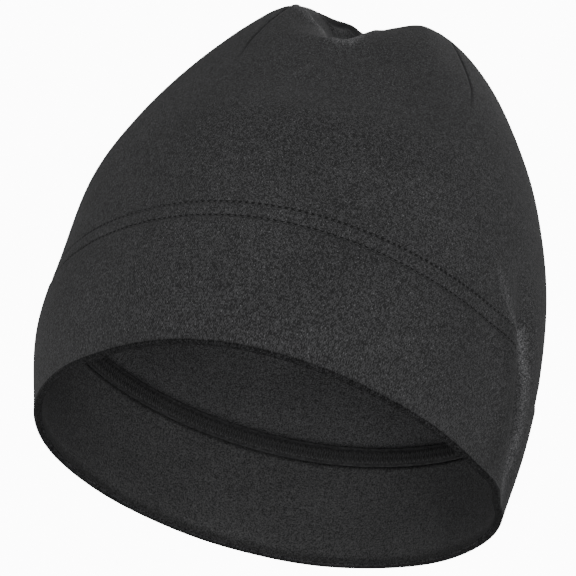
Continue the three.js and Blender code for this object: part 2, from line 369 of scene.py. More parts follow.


# %% [markdown]
# ## Lines along the folds
#
# Where cloth folds over sharply, its edge stands up a little. The edge and the far wall of a fold get a
# painted highlight, and the hollow beside it and a fold's near wall get painted shade. These edges wander, so
# each is a path of a few points in space, and the cloth gets its relief and its painted light and shade from
# how near the path is. This painted shading goes to the material as an attribute, so it stays on its fold in
# every view.

# %% Edges and hollows of the folds
# The fourth number of each line paints light on the cloth: above 0 a painted highlight, below 0 painted
# shade.
FOLD_LINES = records(
    "name half_width relief haze path",
    ("lip of the front dent", 2.1, 0.9, 1.5, [
        (-19, -41.5, 170), (-13.5, -44.5, 164.4), (-9.9, -46.4, 159.8), (-6.2, -45.5, 157.5), (-3, -52, 152),
        (1, -60, 145.5), (5, -63, 142.5), (10, -62.4, 142.1), (12, -56, 149), (15.3, -50.5, 156.1)]),
    ("fold behind the lip", 0.9, 1.0, 0.5, [
        (-11.4, -31.4, 173.8), (-9.2, -29, 172.8), (-6.7, -26.7, 170.6)]),
    ("far wall of the front dent", 8.0, 3.5, 0.0, [
        (-2, -9, 181.5), (4, -3.5, 183.5)]),
    ("hollow behind that fold", 4.0, -1.5, -0.9, [
        (-10.4, -27.6, 175.6), (-7.9, -20.6, 178.6), (-5.4, -15.3, 180.6), (-2, -9, 182.5)]),
    ("lap in the hollow", 1.6, 0.6, 0.5, [
        (-6, -22.5, 174), (-4.5, -16, 178.4)]),
    ("left side fold, its edge", 1.8, 0.0, 0.8, [
        (77.4, -46.8, 64.8), (79.8, -43.3, 59.9), (82.2, -38.8, 54.5), (83.4, -35.5, 52.8),
        (84, -30.5, 52.3)]),
    ("left side fold, its far wall", 2.7, 0.0, 1.4, [
        (83.6, -18.6, 55.8), (84.9, -15.3, 52.4), (86, -12.4, 48.8), (87.5, -6.5, 41), (87.8, -2.5, 34),
        (87, 1, 26.1), (85.5, 3, 17), (84.6, 5, 4)]),
    ("left side fold, its near wall", 6.0, 0.0, -0.3, [
        (81, -39, 46), (84.5, -31, 36), (85, -24, 26), (84.5, -21.5, 16), (83.5, -22, 6)]))
print("lines along the folds:", [line["name"] for line in FOLD_LINES])


def distance_to_path(points, path):
    """How far each point is from a path of straight pieces: the least of its distances from them. The nearest
    point of a piece is start + t (end - start), with t held between 0 and 1."""
    path = np.array(path, float)
    nearest = np.full(points.shape[:-1], np.inf)
    for start, along in zip(path[:-1], np.diff(path, axis=0)):
        t = np.clip((points - start) @ along / (along @ along), 0.0, 1.0)
        nearest = np.minimum(nearest, np.linalg.norm(points - start - t[..., None] * along, axis=-1))
    return nearest


def fold_lines(points):
    """The relief and the painted highlight and shade of all the fold lines at each point: a bell of its
    distance from each line.
    """
    relief, haze = 0.0, 0.0
    for line in FOLD_LINES:
        near = bell(distance_to_path(points, line["path"]), line["half_width"])
        relief, haze = relief + line["relief"] * near, haze + line["haze"] * near
    return relief, np.maximum(haze, DARKEST)


def stretch_of(azimuth, start, grows, end, fades):
    """1 between two azimuths, growing from 0 after the first and fading back to it before the second."""
    turned = turn_between(azimuth, 0.0)
    return ease((turned - start) / grows) * ease((end - turned) / fades)


def sewn_share(azimuth):
    """1 where the stitches show, and less inside the fold at the left side, whose cloth closes over them."""
    return 1.0 - 0.9 * stretch_of(azimuth, start=73.0, grows=5.0, end=108.0, fades=12.0)


def rim_droop(azimuth, height):
    """How far the rim's fold hangs down at the front: most at its lowest, and not at all at DROOP_HEIGHT."""
    front = stretch_of(azimuth, start=-62.0, grows=30.0, end=84.0, fades=12.0)
    return RIM_DROOP * front * (1.0 - ease(height / DROOP_HEIGHT))


# %% [markdown]
# ## One helper for every closed surface
#
# Each piece is a grid of rows and columns that closes on itself. Its faces are four-sided, they point
# outwards, and each corner carries a place in the knit: how many wales round and how many courses up it is. A
# pattern that reads these follows the cloth, however it is gathered.

# %% Mesh helper
def grid_faces(rows, columns, closed_rows):
    """The four corner numbers of each face of a grid that is closed round its columns, as an array. Corner
    (row, column) is number row * columns + column."""
    row = np.arange(rows if closed_rows else rows - 1)[:, None]
    column = np.arange(columns)[None, :]
    following, aside = (row + 1) % rows, (column + 1) % columns
    corners = (row * columns + column, row * columns + aside, following * columns + aside,
               following * columns + column)
    return np.stack(np.broadcast_arrays(*corners), axis=-1).reshape(-1, 4)


def fill(items, key, values, kind=np.float32):
    """Writes values into one property of all the items of a mesh."""
    items.foreach_set(key, np.asarray(values).astype(kind).ravel())


def mesh_object(name, points, faces, materials, places, face_material=None, triangles=None, shares=None):
    """A smooth-shaded object from points in millimetres above the rim. Triangles come after the faces. Places
    are named pairs of numbers per corner, as UV maps. Shares are named numbers per point, as attributes."""
    mesh = bpy.data.meshes.new(name)
    placed = (points.reshape(-1, 3) - (0.0, 0.0, ORIGIN_HEIGHT)) * MM
    kinds = [faces] if triangles is None else [faces, triangles]
    corners = np.concatenate([kind.ravel() for kind in kinds])
    sizes = np.concatenate([np.full(len(kind), kind.shape[1]) for kind in kinds])
    mesh.vertices.add(len(placed))
    fill(mesh.vertices, "co", placed)
    mesh.loops.add(len(corners))
    fill(mesh.loops, "vertex_index", corners, np.int32)
    mesh.polygons.add(len(sizes))
    fill(mesh.polygons, "loop_start", run_up(sizes)[:-1], np.int32)
    fill(mesh.polygons, "use_smooth", np.ones(len(sizes)), bool)
    for material in materials:
        mesh.materials.append(material)
    if face_material is not None:
        fill(mesh.polygons, "material_index", face_material, np.int32)
    for label, corner in places.items():
        fill(mesh.uv_layers.new(name=label).data, "uv", corner)
    for label, values in (shares or {}).items():
        fill(mesh.attributes.new(label, "FLOAT", "POINT").data, "value", values)
    mesh.update(calc_edges=True)
    mesh.validate()
    print(f"{name}: {len(placed)} points, {int((sizes - 2).sum())} triangles")
    return new_object(name, mesh)


# %% [markdown]
# ## Black jersey
#
# Jersey's face is rows of small Vs, one wale beside the next, each about 0.9 mm wide and 1 mm tall. Black
# yarn is never one black: some filaments catch the light, and brushed cloth has a haze of loose ends, which
# makes its edges paler. A procedural pattern in wales and courses is sharp at any size, and its parts can be
# named: Vs for the relief, one random tone per stitch, a slow cloudiness, a few specks of lint, and sheen for
# the haze.

# %% Node helpers
def new_material(name, roughness, sheen, sheen_roughness=0.45, specular=0.28):
    """A node material with a Principled shader, whose constant values are set on its own sockets."""
    material = bpy.data.materials.new(name)
    material.use_nodes = True
    shader = material.node_tree.nodes["Principled BSDF"]
    values = {"Roughness": roughness, "Specular IOR Level": specular, "Sheen Weight": sheen,
              "Sheen Roughness": sheen_roughness, "Sheen Tint": (0.82, 0.82, 0.84, 1.0)}
    for key, value in values.items():
        shader.inputs[key].default_value = value
    return material, shader


def node(material, kind, inputs=(), **settings):
    """A new node with its settings and inputs. An input is a value, or a socket that it is linked from."""
    made = material.node_tree.nodes.new(kind)
    for key, value in settings.items():
        setattr(made, key, value)
    for key, value in dict(inputs).items():
        if isinstance(value, bpy.types.NodeSocket):
            material.node_tree.links.new(value, made.inputs[key])
        else:
            made.inputs[key].default_value = value
    return made


def math(material, operation, *values):
    """The result of a Math node on values or sockets."""
    return node(material, "ShaderNodeMath", dict(enumerate(values)), operation=operation).outputs[0]


def apart(material, first, second):
    """How far apart two values or sockets are."""
    return math(material, "ABSOLUTE", math(material, "SUBTRACT", first, second))


def times(material, *values):
    """The product of two or more values or sockets."""
    product = values[0]
    for value in values[1:]:
        product = math(material, "MULTIPLY", product, value)
    return product


def between(material, value, low, high, to_low=0.0, to_high=1.0):
    """A value mapped smoothly from low..high to to_low..to_high."""
    return node(material, "ShaderNodeMapRange", {0: value, 1: low, 2: high, 3: to_low, 4: to_high},
                interpolation_type="SMOOTHSTEP").outputs[0]


def spread(material, value, low, high, by):
    """A value mapped smoothly from low..high to 1 - by..1 + by."""
    return between(material, value, low, high, 1.0 - by, 1.0 + by)


def noise(material, place, scale, detail=2.0, rough=0.5):
    """Noise of a scale per metre at a place."""
    return node(material, "ShaderNodeTexNoise", {"Vector": place, "Scale": scale, "Detail": detail,
                                                 "Roughness": rough}).outputs["Fac"]


def place_in(material, uv_map):
    """The two numbers of a named place, as sockets."""
    uv = node(material, "ShaderNodeUVMap", uv_map=uv_map).outputs[0]
    parts = node(material, "ShaderNodeSeparateXYZ", {0: uv})
    return parts.outputs[0], parts.outputs[1]


def share_of(material, name):
    """A share that the mesh carries per point."""
    return node(material, "ShaderNodeAttribute", attribute_name=name).outputs["Fac"]


def dressed(material, shader, tone, factor, relief, strength, depth):
    """The material with its tone times a factor as colour, and a relief as a bump of a depth in metres."""
    color = node(material, "ShaderNodeVectorMath", {0: tone, "Scale": factor}, operation="SCALE").outputs[0]
    bump = node(material, "ShaderNodeBump", {"Height": relief, "Strength": strength, "Distance": depth})
    material.node_tree.links.new(color, shader.inputs["Base Color"])
    material.node_tree.links.new(bump.outputs[0], shader.inputs["Normal"])
    return material


# %% Jersey, nap and thread
# Painted shade along the rim's fold and up the band's inside: how dark it makes the cloth, and the heights in
# metres above the rim up to which it is darkest and from which it is gone, on the face and on the brushed
# inside.
RIM_SHADE = 0.5
FACE_SHADE_HEIGHTS, BACK_SHADE_HEIGHTS = (0.0002, 0.0010), (0.0018, 0.0062)
HOLE_OFF_ROW, HOLE_OFF_MIDDLE = (0.6, 0.3), (0.1, 0.26)
SPECKLE, LINT_FROM, LINT_TO = 0.575, 0.985, 0.995


def knit_height(material, wale, course):
    """The face of jersey: each wale has two rounded legs, whose loops slant towards its middle and make Vs.
    The height is a leg's arch times a loop's arch."""
    from_middle = apart(material, math(material, "FRACT", wale), 0.5)
    leg = math(material, "SINE", times(material, from_middle, 2.0 * np.pi))
    slanted = math(material, "ADD", course, times(material, from_middle, 2.0))
    loop = math(material, "ABSOLUTE", math(material, "SINE", times(material, slanted, np.pi)))
    return times(material, math(material, "POWER", leg, 0.6), math(material, "POWER", loop, 0.5))


def fold_shade(material, place, shade_heights):
    """Painted shade along the rim's fold: the colour is darkest up to the first of two heights in metres
    above the rim, and not darkened from the second on."""
    height = math(material, "ADD", node(material, "ShaderNodeSeparateXYZ", {0: place}).outputs[2],
                  ORIGIN_HEIGHT * MM)
    return between(material, height, *shade_heights, RIM_SHADE, 1.0)


def needle_hole_shade(material):
    """1 where the needle drew the cloth in, round both ends of each stitch of the rows, and 0 elsewhere. The
    jersey gets painted shade there.
    """
    number, height = place_in(material, "stitches")
    along = apart(material, math(material, "FRACT", number), 0.5)
    off_rows = [apart(material, height, row) for row in (SEAM_HEIGHT, UPPER_ROW)]
    near = math(material, "ADD", *(between(material, away, *HOLE_OFF_ROW) for away in off_rows))
    return times(material, between(material, along, *HOLE_OFF_MIDDLE), near, share_of(material, "sewn"))


def jersey(name, tone, sheen=0.03, specular=0.28):
    """Black jersey. Its tone is varied by a random value per half of each leg of a stitch, the few highest of
    which are pale lint, by painted shade in the Vs' hollows and painted light on their loops, by cloudiness
    and grain, by painted shade at the needle holes and along the rim's fold, and by the painted highlights
    and shade of its folds and darts."""
    material, shader = new_material(name, roughness=0.9, sheen=sheen, specular=specular)
    wale, course = place_in(material, "knit")
    height = knit_height(material, wale, course)
    leg, half = (math(material, "FLOOR", times(material, count, 2.0)) for count in (wale, course))
    cell = node(material, "ShaderNodeCombineXYZ", {0: leg, 1: half}).outputs[0]
    stitch = node(material, "ShaderNodeTexWhiteNoise", {"Vector": cell}, noise_dimensions="2D")
    stitch = stitch.outputs["Value"]
    place = node(material, "ShaderNodeTexCoord").outputs["Object"]
    cloud = noise(material, place, 26.0, detail=3.0)
    grain = noise(material, place, 2400.0, detail=1.0)
    lint = between(material, stitch, LINT_FROM, LINT_TO)
    factor = times(
        material,
        spread(material, stitch, 0.0, 1.0, SPECKLE),
        # painted shade in the hollows of the Vs, and painted light on their loops
        between(material, height, 0.0, 1.0, 0.3, 1.4),
        spread(material, cloud, 0.25, 0.75, 0.1),
        spread(material, grain, 0.35, 0.65, 0.2),
        math(material, "ADD", times(material, lint, 0.7), 1.0),
        # painted shade at the needle holes
        math(material, "SUBTRACT", 1.0, times(material, needle_hole_shade(material), 0.88)),
        # painted shade along the rim's fold
        fold_shade(material, place, FACE_SHADE_HEIGHTS),
        # painted highlights and shade of the folds and darts
        math(material, "ADD", share_of(material, "haze"), 1.0),
    )
    relief = math(material, "ADD", height, times(material, grain, 0.7))
    return dressed(material, shader, tone, factor, relief, strength=0.55, depth=0.00022)


def brushed(name, tone, contrast, coarse=1.0):
    """The brushed back of the cloth: a short nap of curled fibre ends, so its relief is noise, not Vs."""
    material, shader = new_material(name, roughness=0.95, sheen=0.03, sheen_roughness=0.6, specular=0.15)
    place = node(material, "ShaderNodeTexCoord").outputs["Object"]
    nap = noise(material, place, 1100.0 / coarse, detail=3.0, rough=0.6)
    tuft = noise(material, place, 420.0 / coarse, detail=1.0)
    cloud = noise(material, place, 30.0, detail=2.0)
    factor = times(
        material,
        spread(material, nap, 0.3, 0.7, contrast),
        spread(material, tuft, 0.3, 0.7, 0.08),
        spread(material, cloud, 0.3, 0.7, 0.08),
        # painted shade along the rim's fold, reaching further up on the inside
        fold_shade(material, place, BACK_SHADE_HEIGHTS),
    )
    relief = math(material, "ADD", nap, tuft)
    return dressed(material, shader, tone, factor, relief, strength=0.6, depth=0.0004)


def thread_material(name, tone):
    """Polyester sewing thread: smoother than the cloth, with its twist as fine slanted ridges, which the
    colour follows as painted light on their tops and painted shade in their grooves.
    """
    material, shader = new_material(name, roughness=0.6, sheen=0.02, specular=0.3)
    turned = times(material, 2.0 * np.pi, math(material, "ADD", *place_in(material, "knit")))
    twist = math(material, "SINE", turned)
    # painted light and shade that follow the twist's ridges
    factor = between(material, twist, -1.0, 1.0, 0.6, 1.3)
    return dressed(material, shader, tone, factor, twist, strength=0.4, depth=0.00005)


# %% The cap's finishes
CROWN_FACE = jersey("crown jersey face", (0.034, 0.034, 0.035))
CROWN_BACK = brushed("crown brushed back", (0.078, 0.078, 0.080), coarse=0.62, contrast=0.65)
BAND_FACE = jersey("band jersey face", (0.032, 0.032, 0.033))
BAND_FOLD = jersey("band fold at the rim", (0.032, 0.032, 0.033), sheen=0.0, specular=0.05)
BAND_BACK = brushed("band brushed inside", (0.061, 0.061, 0.062), coarse=0.7, contrast=0.6)
TAPE_CLOTH = brushed("seam tape cloth", (0.038, 0.038, 0.039), contrast=0.4)
TOP_THREAD = thread_material("topstitch thread", (0.042, 0.042, 0.043))
LOOPER_THREAD = thread_material("looper thread", (0.055, 0.055, 0.056))
print("finishes:", [m.name for m in bpy.data.materials if m.users == 0])

# %% [markdown]
# ## The crown
#
# One layer of cloth 1.4 mm thick. Its outer and inner faces are two grids over the same columns, which meet
# at the cut edge and close at the apex. Rows are close together at the stitches, where the relief is fine.
#
# The knit's columns of Vs, the wales, stay upright in each panel. So the place in the knit is counted from
# the panel's middle, and it shrinks with the radius. At a dart two panels meet and their wales run into the
# seam.

# %% Place in the knit
WALES_ROUND = 680
COURSE = 1.0
CROWN_COURSE, BAND_COURSE = 200.0, 100.0
PANEL_MIDDLES = [15.0, 105.0, 195.0, 285.0]


def knit_place(points, azimuth, panel):
    """Wales and courses at each point of a grid. A wale's number is its panel's middle, plus the angle from
    there times radius over the radius at the darts' feet. Courses are the length up the cloth."""
    radius = radius_of(points)
    feet = np.argmin(np.abs(points[:, 0, 2] - DART_FOOT))
    shrink = np.where(points[..., 2] > DART_FOOT, np.minimum(radius / radius[feet], 1.0), 1.0)
    middle = np.array(PANEL_MIDDLES)[panel]
    wales = (middle + (azimuth - middle) * shrink) * WALES_ROUND / 360.0
    length = run_up(np.linalg.norm(np.diff(points, axis=0), axis=-1))
    return np.stack([wales, length / COURSE + CROWN_COURSE], axis=-1)


def next_column(grid, turn=0.0):
    """Each column's neighbour. The last one's is the first, a full turn on."""
    moved = np.roll(grid, -1, axis=1)
    moved[:, -1] = moved[:, -1] + turn
    return moved


def face_corners(here, aside):
    """The values at each face's four corners, from those of its own column and those of the next one."""
    return np.stack([here[:-1], aside[:-1], aside[1:], here[1:]], axis=2)


print(f"the knit has {WALES_ROUND} wales round the cap, each with a course every {COURSE} mm")

# %% Place along the stitches
STITCH_PITCH = 2.25
STEPS_ROUND = 3600
_round = np.linspace(-180.0, 540.0, 2 * STEPS_ROUND + 1)
_ring = cloth(station_at(SEAM_HEIGHT), _round)
_length = run_up(np.linalg.norm(np.diff(_ring, axis=0), axis=-1))
SEAM_GIRTH = _length[STEPS_ROUND]
STITCHES = int(round(SEAM_GIRTH / STITCH_PITCH))


def stitch_number(azimuth):
    """How many stitches round the seam an azimuth is: the seam's length up to it over that of a stitch."""
    return np.interp(azimuth, _round, _length) * STITCHES / SEAM_GIRTH


def stitch_place(azimuth, height):
    """Stitch number and height in millimetres at each point of a grid."""
    return np.stack(np.broadcast_arrays(stitch_number(azimuth), height), axis=-1)


print(f"the seam is {SEAM_GIRTH:.0f} mm round, which takes {STITCHES} stitches")

# %% Crown grids
SHOULDER_HEIGHT = SECTIONS["height"][-1]
CLIMB_PER_STATION = 9.0
FINE_TOP = 56.0
CALM_RADIUS, SETTLED_OVER = 30.0, 14.0


def stitched_stations(fine_rows, rows):
    """Stations from the seam to the apex: evenly close up to FINE_TOP, then further apart."""
    low = station_at(np.linspace(SEAM_HEIGHT, FINE_TOP, fine_rows))
    return np.concatenate([low, np.linspace(low[-1], APEX_STATION, rows + 1)[1:]])


def crown_grid(stations):
    """The crown's outer face without relief, its normals, azimuths, panels and climbs. A row's climb is its
    height up to the shoulder, and grows evenly above, where the real height dips."""
    above = SHOULDER_HEIGHT + (stations - SHOULDER_STATION) * CLIMB_PER_STATION
    climb = np.where(stations < SHOULDER_STATION, cloth(stations, 0.0)[:, 2], above)
    azimuth, panel = columns_at(climb)
    station = np.broadcast_to(stations[:, None], azimuth.shape)
    return cloth(station, azimuth), cloth_normal(station, azimuth), azimuth, panel, climb[:, None]


def slow_waves(points, azimuth, start, over):
    """Unevenness that grows from nothing at a height, and dies out towards the apex."""
    height = points[..., 2]
    calm = ease(radius_of(points) / CALM_RADIUS)
    return unevenness(azimuth, height) * calm * ease((height - start) / over)


OUTER_STATIONS = stitched_stations(fine_rows=27, rows=124)
outer, outer_normal, outer_azimuth, panel, climb = crown_grid(OUTER_STATIONS)
# The fold lines and darts give relief, and painted highlights and shade that the material reads as an
# attribute.
line_relief, line_painted_shading = fold_lines(outer)
dart_relief, dart_painted_shade = darts(outer_azimuth, climb, radius_of(outer))
crown_painted_shading = np.maximum(line_painted_shading + dart_painted_shade, DARKEST)
relief = slow_waves(outer, outer_azimuth, SEAM_HEIGHT, SETTLED_OVER)
relief = relief + seam_relief(outer_azimuth, outer[..., 2]) + dart_relief + line_relief
outer = outer + outer_normal * relief[..., None]
print(f"crown relief runs from {relief.min():.2f} to {relief.max():.2f} mm")

# %% Crown mesh
TAPE_TOP = 58.0
INNER_STATIONS = stitched_stations(fine_rows=5, rows=62)
inner, inner_normal, inner_azimuth, _, _ = crown_grid(INNER_STATIONS)
inner = inner + inner_normal * (slow_waves(inner, inner_azimuth, TAPE_TOP, 10.0) - CROWN_WALL)[..., None]
inner[0, :, 2] = SEAM_HEIGHT


def open_cap(grid):
    """A grid's rows without its last, and the one point at the apex that stands for it."""
    return grid[:-1], grid[-1].mean(axis=0)


outer_rows, outer_apex = open_cap(outer)
inner_rows, inner_apex = open_cap(inner)
crown_points = np.concatenate([outer_rows[::-1], inner_rows])
crown_rows = len(crown_points)
crown_faces = grid_faces(crown_rows, COLUMNS, closed_rows=False)[:, ::-1]
column = np.arange(COLUMNS)
aside = (column + 1) % COLUMNS
outer_number, last = crown_rows * COLUMNS, (crown_rows - 1) * COLUMNS
outer_fan = np.stack([np.full(COLUMNS, outer_number), column, aside], axis=-1)
inner_fan = np.stack([np.full(COLUMNS, outer_number + 1), last + aside, last + column], axis=-1)
crown_all = np.concatenate([crown_points.reshape(-1, 3), [outer_apex, inner_apex]])
print(f"{crown_rows} rows of {COLUMNS}, and the apex outside at {outer_apex[2]:.2f} mm")

# %% Crown piece
def crown_places():
    """The two named places at every corner of the crown, in the order of its faces and fans."""
    here = [(outer_rows[::-1], outer_azimuth[:-1][::-1]), (inner_rows, inner_azimuth[:-1])]
    beside = [(next_column(points), next_column(azimuth, 360.0)) for points, azimuth in here]
    ways = {"knit": lambda points, azimuth: knit_place(points, azimuth, panel),
            "stitches": lambda points, azimuth: stitch_place(azimuth, points[..., 2])}
    places = {}
    for label, way in ways.items():
        corner = face_corners(*(np.concatenate([way(*grid) for grid in grids]) for grids in (here, beside)))
        parts = [corner[:, :, ::-1], corner[0][:, [0, 0, 1]], corner[-1][:, [3, 2, 3]]]
        places[label] = np.concatenate([part.reshape(-1, 2) for part in parts])
    return places


def crown_share(outer_share, apex):
    """A share at every point of the crown: the outer face's rows, none inside, and the apex."""
    return np.concatenate([outer_share[:-1][::-1].ravel(), np.zeros(inner_rows.size // 3), [apex, 0.0]])


outer_faces = (len(outer_rows) - 1) * COLUMNS
crown_material = np.repeat([0, 1, 0, 1], [outer_faces, len(crown_faces) - outer_faces, COLUMNS, COLUMNS])
crown_shares = {"haze": crown_share(crown_painted_shading, crown_painted_shading[-1].mean()),
                "sewn": crown_share(sewn_share(outer_azimuth), 1.0)}
crown = mesh_object("crown_cloth", crown_all, crown_faces, [CROWN_FACE, CROWN_BACK], crown_places(),
                    crown_material, np.concatenate([outer_fan, inner_fan]), crown_shares)
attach(crown, "root")
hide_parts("crown")

# %% [markdown]
# ## The band
#
# A strip of the same cloth, folded along its length and sewn to the crown by its two raw edges. The fold is
# the rim. In the CAD model it is one thick wall, but a strip with its own thickness is as easy: its profile
# is a long U, outside down, round the fold, inside up, and back again between the layers.

# %% Band profile
BAND_WALL = 3.0
BAND_PROUD = 0.5
BAND_TOP = SEAM_HEIGHT - 0.3
BAND_TUCK = 2.5
LAYER, LEAST_GAP = 1.4, 0.05
FOLD_RADIUS = BAND_WALL / 2.0
ROWS = {"tuck": 9, "outside": 34, "fold": 14, "inside": 30, "hidden": 8, "crease": 3}


def wall(height, azimuth, depth):
    """The cloth at a height, moved inwards by depth at right angles to its plan."""
    station = station_at(height)
    across = unit(cloth_normal(station, azimuth) * (1.0, 1.0, 0.0))
    return cloth(station, azimuth) - across * depth[..., None], across


def fold_arc(radius, steps, direction):
    """Depth from the layers' middle and height below the fold's centre, round half a circle of a radius."""
    angle = np.pi * np.arange(1, steps) / steps
    return -direction * radius * np.cos(angle), -radius * np.sin(angle)


def band_profile():
    """Height, depth and kind of every row of the band, in order round its U-shaped section. Kind 0 is the
    outer face, 1 the fold, 2 the inner face and 3 what the layers hide."""
    def tuck(height):
        """How far in the outer layer is: it stands proud of the crown, but not at its top."""
        return BAND_PROUD * (1.0 - ease((BAND_TOP - height) / BAND_TUCK))

    middle = FOLD_RADIUS - BAND_PROUD
    outer_depth, inner_depth = middle - FOLD_RADIUS, middle + FOLD_RADIUS
    down = np.concatenate([np.linspace(BAND_TOP, BAND_TOP - BAND_TUCK, ROWS["tuck"])[:-1],
                           np.linspace(BAND_TOP - BAND_TUCK, FOLD_RADIUS, ROWS["outside"])])
    up = np.linspace(FOLD_RADIUS, BAND_TOP, ROWS["inside"])
    hidden_down = np.linspace(BAND_TOP, FOLD_RADIUS, ROWS["hidden"])
    hidden_up = hidden_down[::-1]
    fold_depth, fold_sunk = fold_arc(FOLD_RADIUS, ROWS["fold"], 1)
    crease_depth, crease_sunk = fold_arc(FOLD_RADIUS - LAYER, ROWS["crease"], -1)
    behind = np.minimum(outer_depth + LAYER + tuck(hidden_up), inner_depth - LAYER - LEAST_GAP)
    parts = [
        (down, outer_depth + tuck(down), 0),
        (FOLD_RADIUS + fold_sunk, middle + fold_depth, 1),
        (up, inner_depth + 0.0 * up, 2),
        (hidden_down, inner_depth - LAYER + 0.0 * hidden_down, 3),
        (FOLD_RADIUS + crease_sunk, middle + crease_depth, 3),
        (hidden_up, behind, 3),
    ]
    heights, depths = (np.concatenate([part[k] for part in parts]) for k in (0, 1))
    return heights, depths, np.concatenate([np.full(len(part[0]), part[2]) for part in parts])


band_height, band_depth, band_kind = band_profile()
print(f"{len(band_height)} rows round the band, from {band_height.min():.2f} to {band_height.max():.2f} mm")

# %% Band piece
band_azimuth, panel = columns_at(np.zeros(len(band_height)))
base_height = np.clip(band_height, FOLD_RADIUS, None)[:, None]
band_points, across = wall(base_height, band_azimuth, band_depth[:, None])
band_points[..., 2] = band_height[:, None]
settled = ease((BAND_TOP - band_height) / SETTLED_OVER)[:, None]
band_relief = unevenness(band_azimuth, band_height[:, None]) * settled
stitched = seam_relief(band_azimuth, band_height[:, None])
band_relief = band_relief + stitched * (band_kind == 0)[:, None]
# Painted highlights and shade of the left side fold, where it reaches the band.
_, band_painted_shading = fold_lines(band_points)
band_points = band_points + across * band_relief[..., None]
band_points[..., 2] -= rim_droop(band_azimuth, base_height)
band_faces = grid_faces(len(band_height), COLUMNS, closed_rows=True)[:, ::-1]


def round_places(azimuth, height, courses, order):
    """The two named places at every corner of a grid that is closed both ways. Order is -1 where the faces'
    corners are reversed and 1 where they aren't."""
    grids = np.broadcast_arrays(azimuth, height, courses)
    here = [np.concatenate([grid, grid[:1]]) for grid in grids]
    beside = [next_column(grid, turn) for grid, turn in zip(here, (360.0, 0.0, 0.0))]
    corners = {"knit": [np.stack([a * WALES_ROUND / 360.0, c], axis=-1) for a, _, c in (here, beside)],
               "stitches": [stitch_place(a, h) for a, h, _ in (here, beside)]}
    return {label: face_corners(*pair)[:, :, ::order].reshape(-1, 2) for label, pair in corners.items()}


band_courses = run_up(np.hypot(np.diff(band_height), np.diff(band_depth)))[:, None] / COURSE + BAND_COURSE
material_of_kind = np.array([0, 2, 1, 1])
band_material = np.repeat(material_of_kind[band_kind], COLUMNS)
band_places = round_places(band_azimuth, band_points[..., 2], band_courses, order=-1)
band = mesh_object("band_cloth", band_points, band_faces, [BAND_FACE, BAND_BACK, BAND_FOLD], band_places,
                   band_material, shares={"haze": band_painted_shading, "sewn": sewn_share(band_azimuth)})
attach(band, "root")
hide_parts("band")

# %% [markdown]
# ## The seam tape
#
# The raw edges of the band and the crown are turned up inside and stitched flat, which leaves a strip 8 mm
# wide. Its section is a flat bar with round edges, and low ribs where the threads press it.

# %% Seam tape piece
TAPE_WIDTH, TAPE_WALL, TAPE_GAP = 8.0, 1.2, 0.3
TAPE_ROUNDNESS = 0.45
RIB_WIDTH, RIB_HEIGHT, RIB_TOP = 1.4, 0.10, 0.12


def tape_profile(steps):
    """Height and depth round a flat bar: signed powers of the cosine and sine make its corners round."""
    angle = 2.0 * np.pi * np.arange(steps) / steps
    up, out = (np.sign(side) * np.abs(side) ** TAPE_ROUNDNESS for side in (np.cos(angle), np.sin(angle)))
    depth = CROWN_WALL + TAPE_GAP + TAPE_WALL / 2.0 * (1.0 - out)
    return SEAM_HEIGHT + TAPE_WIDTH / 2.0 * (1.0 + up), depth


tape_height, tape_depth = tape_profile(steps=36)
tape_azimuth, _ = columns_at(np.zeros(len(tape_height)))
tape_points, across = wall(tape_height[:, None], tape_azimuth, tape_depth[:, None])
inside_share = ease((tape_depth - CROWN_WALL - TAPE_GAP - TAPE_WALL / 2.0) / (TAPE_WALL / 2.0))[:, None]
tape_ribs = RIB_HEIGHT * (np.sin(2.0 * np.pi * tape_height / RIB_WIDTH)[:, None] + puckering(tape_azimuth))
tape_points = tape_points + across * (inside_share * (RIB_TOP - np.abs(tape_ribs)))[..., None]
tape_faces = grid_faces(len(tape_height), COLUMNS, closed_rows=True)
tape_places = round_places(tape_azimuth, tape_points[..., 2], tape_height[:, None], order=1)
tape = mesh_object("seam_tape_cloth", tape_points, tape_faces, [TAPE_CLOTH], tape_places)
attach(tape, "root")
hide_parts("seam_tape")

# %% [markdown]
# ## Thread
#
# Two needles sew the seam flat, so two rows of stitches run side by side round the cap. Each stitch lies on
# the cloth and dives through it at both ends. On the inside, two looper threads zigzag between the rows. Each
# row and each looper thread is one long tube carried round the cap.

# %% Thread helper
PLIES_PER_POINT = 0.5
SUNK_IN_FOLD = 0.25


def thread(name, path, radius, sides, material):
    """A closed tube round a closed path. Its section is a circle across the path, in the plane of the path's
    own normal and the vector at right angles to both."""
    tangent = unit(np.roll(path, -1, axis=0) - np.roll(path, 1, axis=0))
    out = unit(path * (1.0, 1.0, 0.0))
    first = unit(out - tangent * (out * tangent).sum(axis=-1, keepdims=True))
    second = np.cross(tangent, first)
    angle = 2.0 * np.pi * np.arange(sides) / sides
    around = first[:, None] * np.cos(angle)[:, None] + second[:, None] * np.sin(angle)[:, None]
    points = path[:, None] + radius * around
    step = np.arange(len(path) + 1)[:, None] * PLIES_PER_POINT
    turns = (np.arange(sides) / sides, np.arange(sides) / sides + 1.0 / sides)
    here, beside = (np.stack(np.broadcast_arrays(turn, step), axis=-1) for turn in turns)
    faces = grid_faces(len(path), sides, closed_rows=True)
    return mesh_object(name, points, faces, [material], {"knit": face_corners(here, beside)})


def seam_point(azimuth, height, lift):
    """The cloth's outer face with its relief at a height near the seam, and lift millimetres above it."""
    station = station_at(height)
    normal = cloth_normal(station, azimuth)
    rise = seam_relief(azimuth, height) + lift - SUNK_IN_FOLD * (1.0 - sewn_share(azimuth))
    return cloth(station, azimuth) + normal * np.asarray(rise)[..., None]


